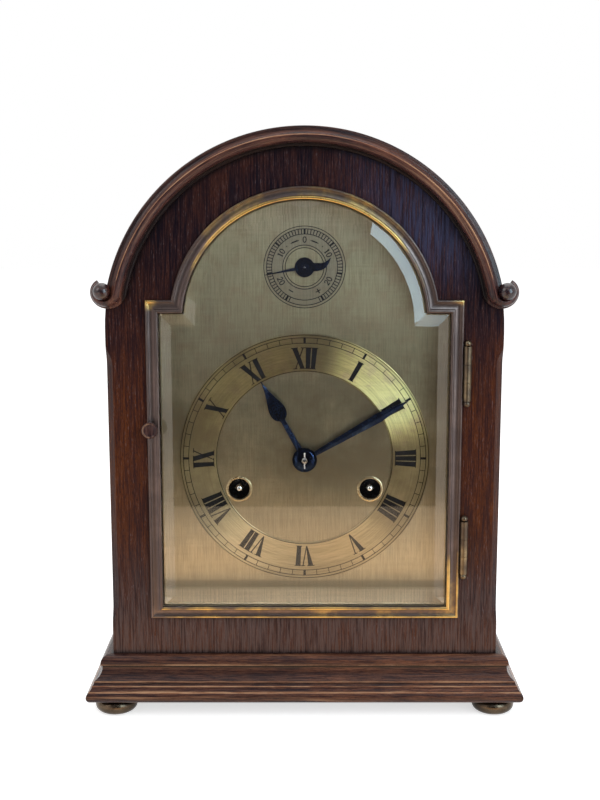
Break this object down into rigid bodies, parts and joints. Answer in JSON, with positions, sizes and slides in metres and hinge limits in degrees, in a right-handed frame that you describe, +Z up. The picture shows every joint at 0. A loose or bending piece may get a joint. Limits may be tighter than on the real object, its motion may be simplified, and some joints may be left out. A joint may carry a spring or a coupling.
{
  "type": "striking shelf clock",
  "caption": "Round-topped wooden shelf clock with a break-arch glazed brass door, brass dial with Roman numerals, regulator hand, pendulum movement and coil gong.",
  "frame": {"origin": "on the table, under the middle of the clock's box", "axes": "+X to the right seen from the front, +Y from the front to the back, +Z up"},
  "size_m": [0.244, 0.16, 0.325],
  "materials": {
    "case_wood": "dark stained oak under worn shellac",
    "inner_wood": "plain stained softwood",
    "foot_brass": "dull tarnished brass",
    "bezel_brass": "worn gilt brass",
    "knob_wood": "polished dark wood",
    "hinge_brass": "dull aged brass",
    "glass": "clear bevelled glass",
    "dial_brass": "brushed and lacquered brass",
    "ring_brass": "brushed and lacquered brass, blackened marks",
    "ferrule_brass": "polished brass",
    "blued_steel": "blued",
    "plate_brass": "machined",
    "wheel_brass": "machined",
    "steel": "polished",
    "bob_brass": "polished brass",
    "gong_steel": "blued spring wire",
    "gong_iron": "black paint"
  },
  "bodies": {
    "case": {"base_board": "case_wood", "base_moulding": "case_wood", "bun_feet": "foot_brass", "case_front": "case_wood", "case_sides": "case_wood", "case_arch": "case_wood", "rear_frame": "inner_wood", "hood_moulding": "case_wood", "moulding_bosses": "case_wood", "dial_plate": "dial_brass", "chapter_ring": "ring_brass", "winding_ferrules": "ferrule_brass", "dial_posts": "plate_brass", "front_plate": "plate_brass", "back_plate": "plate_brass", "plate_pillars": "plate_brass", "pillar_nuts": "plate_brass", "seat_board_and_cleats": "inner_wood", "pendulum_cock": "plate_brass", "gong_block": "gong_iron", "gong_coil": "gong_steel", "case_hinge_leaves": "hinge_brass", "hinge_pins": "hinge_brass", "ratchet_clicks": "steel"},
    "front_door": {"door_bezel": "bezel_brass", "door_glass": "glass", "glass_retainer": "bezel_brass", "door_knob": "knob_wood", "front_door_hinge_leaves": "hinge_brass"},
    "back_door": {"rear_door": "inner_wood", "rear_door_knob": "hinge_brass", "rear_door_hinge_leaves": "hinge_brass"},
    "minute_group": {"minute_hand": "blued_steel", "hand_washer_and_pin": "blued_steel", "centre_arbor": "wheel_brass"},
    "hour_group": {"hour_hand": "blued_steel", "hour_wheel": "wheel_brass"},
    "minute_wheel_body": {"minute_wheel": "wheel_brass"},
    "going_barrel_body": {"going_barrel": "wheel_brass", "going_mainspring": "steel"},
    "going_winding": {"going_winding_arbor": "steel"},
    "second_body": {"second_wheel": "wheel_brass"},
    "third_body": {"third_wheel": "wheel_brass"},
    "escape_body": {"escape_wheel": "wheel_brass"},
    "pallets": {"pallet_anchor": "steel"},
    "strike_barrel_body": {"strike_barrel": "wheel_brass", "strike_mainspring": "steel"},
    "strike_winding": {"strike_winding_arbor": "steel"},
    "strike_second_body": {"strike_second_wheel": "wheel_brass"},
    "pin_wheel_body": {"pin_wheel": "wheel_brass"},
    "warning_body": {"warning_wheel": "wheel_brass"},
    "fly_body": {"strike_fly": "wheel_brass"},
    "hammer_body": {"strike_hammer": "steel"},
    "regulator": {"regulator_hand": "blued_steel", "regulator_arbor": "steel"},
    "slide_body": {"suspension_slide": "plate_brass"},
    "pendulum": {"pendulum_rod": "steel", "pendulum_bob": "bob_brass"},
    "rating_nut_body": {"rating_nut": "bob_brass"}
  },
  "joints": [
    {"name": "front_door_hinge", "type": "hinge", "parent": "case", "child": "front_door", "pos_m": [0.0883, -0.0683, 0.145], "axis": [0, 0, 1], "range_deg": [0, 110]},
    {"name": "back_door_hinge", "type": "hinge", "parent": "case", "child": "back_door", "pos_m": [0.0874, 0.0752, 0.13], "axis": [0, 0, -1], "range_deg": [0, 110]},
    {"name": "minute_turn", "type": "hinge", "parent": "case", "child": "minute_group", "pos_m": [0, 0, 0.1436], "axis": [0, 1, 0], "continuous": true},
    {"name": "hour_turn", "type": "hinge", "parent": "case", "child": "hour_group", "pos_m": [0, -0.03, 0.1436], "axis": [0, 1, 0], "continuous": true},
    {"name": "minute_wheel_turn", "type": "hinge", "parent": "case", "child": "minute_wheel_body", "pos_m": [0, -0.035, 0.1268], "axis": [0, 1, 0], "continuous": true},
    {"name": "second_wheel_turn", "type": "hinge", "parent": "case", "child": "second_body", "pos_m": [0.02288, 0, 0.15416], "axis": [0, 1, 0], "continuous": true},
    {"name": "going_barrel_turn", "type": "hinge", "parent": "case", "child": "going_barrel_body", "pos_m": [0.0368, 0, 0.1259], "axis": [0, 1, 0], "continuous": true},
    {"name": "third_wheel_turn", "type": "hinge", "parent": "case", "child": "third_body", "pos_m": [0, 0, 0.1652], "axis": [0, 1, 0], "continuous": true},
    {"name": "escape_wheel_turn", "type": "hinge", "parent": "case", "child": "escape_body", "pos_m": [0, 0, 0.18496], "axis": [0, 1, 0], "continuous": true},
    {"name": "going_winding_turn", "type": "hinge", "parent": "case", "child": "going_winding", "pos_m": [0.0368, 0, 0.1259], "axis": [0, 1, 0], "range_deg": [0, 2520]},
    {"name": "strike_winding_turn", "type": "hinge", "parent": "case", "child": "strike_winding", "pos_m": [-0.0368, 0, 0.1259], "axis": [0, 1, 0], "range_deg": [0, 2520]},
    {"name": "pin_wheel_turn", "type": "hinge", "parent": "case", "child": "pin_wheel_body", "pos_m": [-0.04301, 0, 0.16932], "axis": [0, 1, 0], "continuous": true},
    {"name": "strike_second_turn", "type": "hinge", "parent": "case", "child": "strike_second_body", "pos_m": [-0.02288, 0, 0.15416], "axis": [0, 1, 0], "continuous": true},
    {"name": "strike_barrel_turn", "type": "hinge", "parent": "case", "child": "strike_barrel_body", "pos_m": [-0.0368, 0, 0.1259], "axis": [0, 1, 0], "continuous": true},
    {"name": "warning_wheel_turn", "type": "hinge", "parent": "case", "child": "warning_body", "pos_m": [-0.03451, 0, 0.18405], "axis": [0, 1, 0], "continuous": true},
    {"name": "fly_turn", "type": "hinge", "parent": "case", "child": "fly_body", "pos_m": [-0.02248, 0, 0.18842], "axis": [0, 1, 0], "continuous": true},
    {"name": "hammer_lift", "type": "hinge", "parent": "case", "child": "hammer_body", "pos_m": [-0.054, 0.03, 0.19], "axis": [0, 1, 0], "range_deg": [0, 18]},
    {"name": "regulator_turn", "type": "hinge", "parent": "case", "child": "regulator", "pos_m": [0, 0, 0.2502], "axis": [0, 1, 0], "range_deg": [-48.5, 252.5]},
    {"name": "suspension_rise", "type": "slide", "parent": "case", "child": "slide_body", "axis": [0, 0, 1], "range_m": [-0.00101, 0.00528]},
    {"name": "pendulum_swing", "type": "hinge", "parent": "slide_body", "child": "pendulum", "pos_m": [0, 0.0275, 0.20296], "axis": [0, 1, 0], "range_deg": [-4, 4]},
    {"name": "anchor_rock", "type": "hinge", "parent": "case", "child": "pallets", "pos_m": [0, 0.01, 0.20296], "axis": [0, 1, 0], "range_deg": [-4, 4]},
    {"name": "rating_nut_turn", "type": "hinge", "parent": "pendulum", "child": "rating_nut_body", "pos_m": [0, 0.0275, 0.06996], "axis": [0, 0, 1], "range_deg": [-720, 720]}
  ],
  "couplings": [
    {"joint": "hour_turn", "follows": "minute_turn", "ratio": 0.083333},
    {"joint": "minute_wheel_turn", "follows": "minute_turn", "ratio": -0.33333},
    {"joint": "second_wheel_turn", "follows": "minute_turn", "ratio": -0.125},
    {"joint": "going_barrel_turn", "follows": "minute_turn", "ratio": 0.020833},
    {"joint": "third_wheel_turn", "follows": "minute_turn", "ratio": -11},
    {"joint": "escape_wheel_turn", "follows": "minute_turn", "ratio": 132},
    {"joint": "strike_second_turn", "follows": "pin_wheel_turn", "ratio": -0.125},
    {"joint": "strike_barrel_turn", "follows": "pin_wheel_turn", "ratio": 0.020833},
    {"joint": "warning_wheel_turn", "follows": "pin_wheel_turn", "ratio": -7.5},
    {"joint": "fly_turn", "follows": "pin_wheel_turn", "ratio": 52.5},
    {"joint": "regulator_turn", "follows": "suspension_rise", "rad_per_m": 833.33},
    {"joint": "anchor_rock", "follows": "pendulum_swing", "ratio": 1}
  ]
}
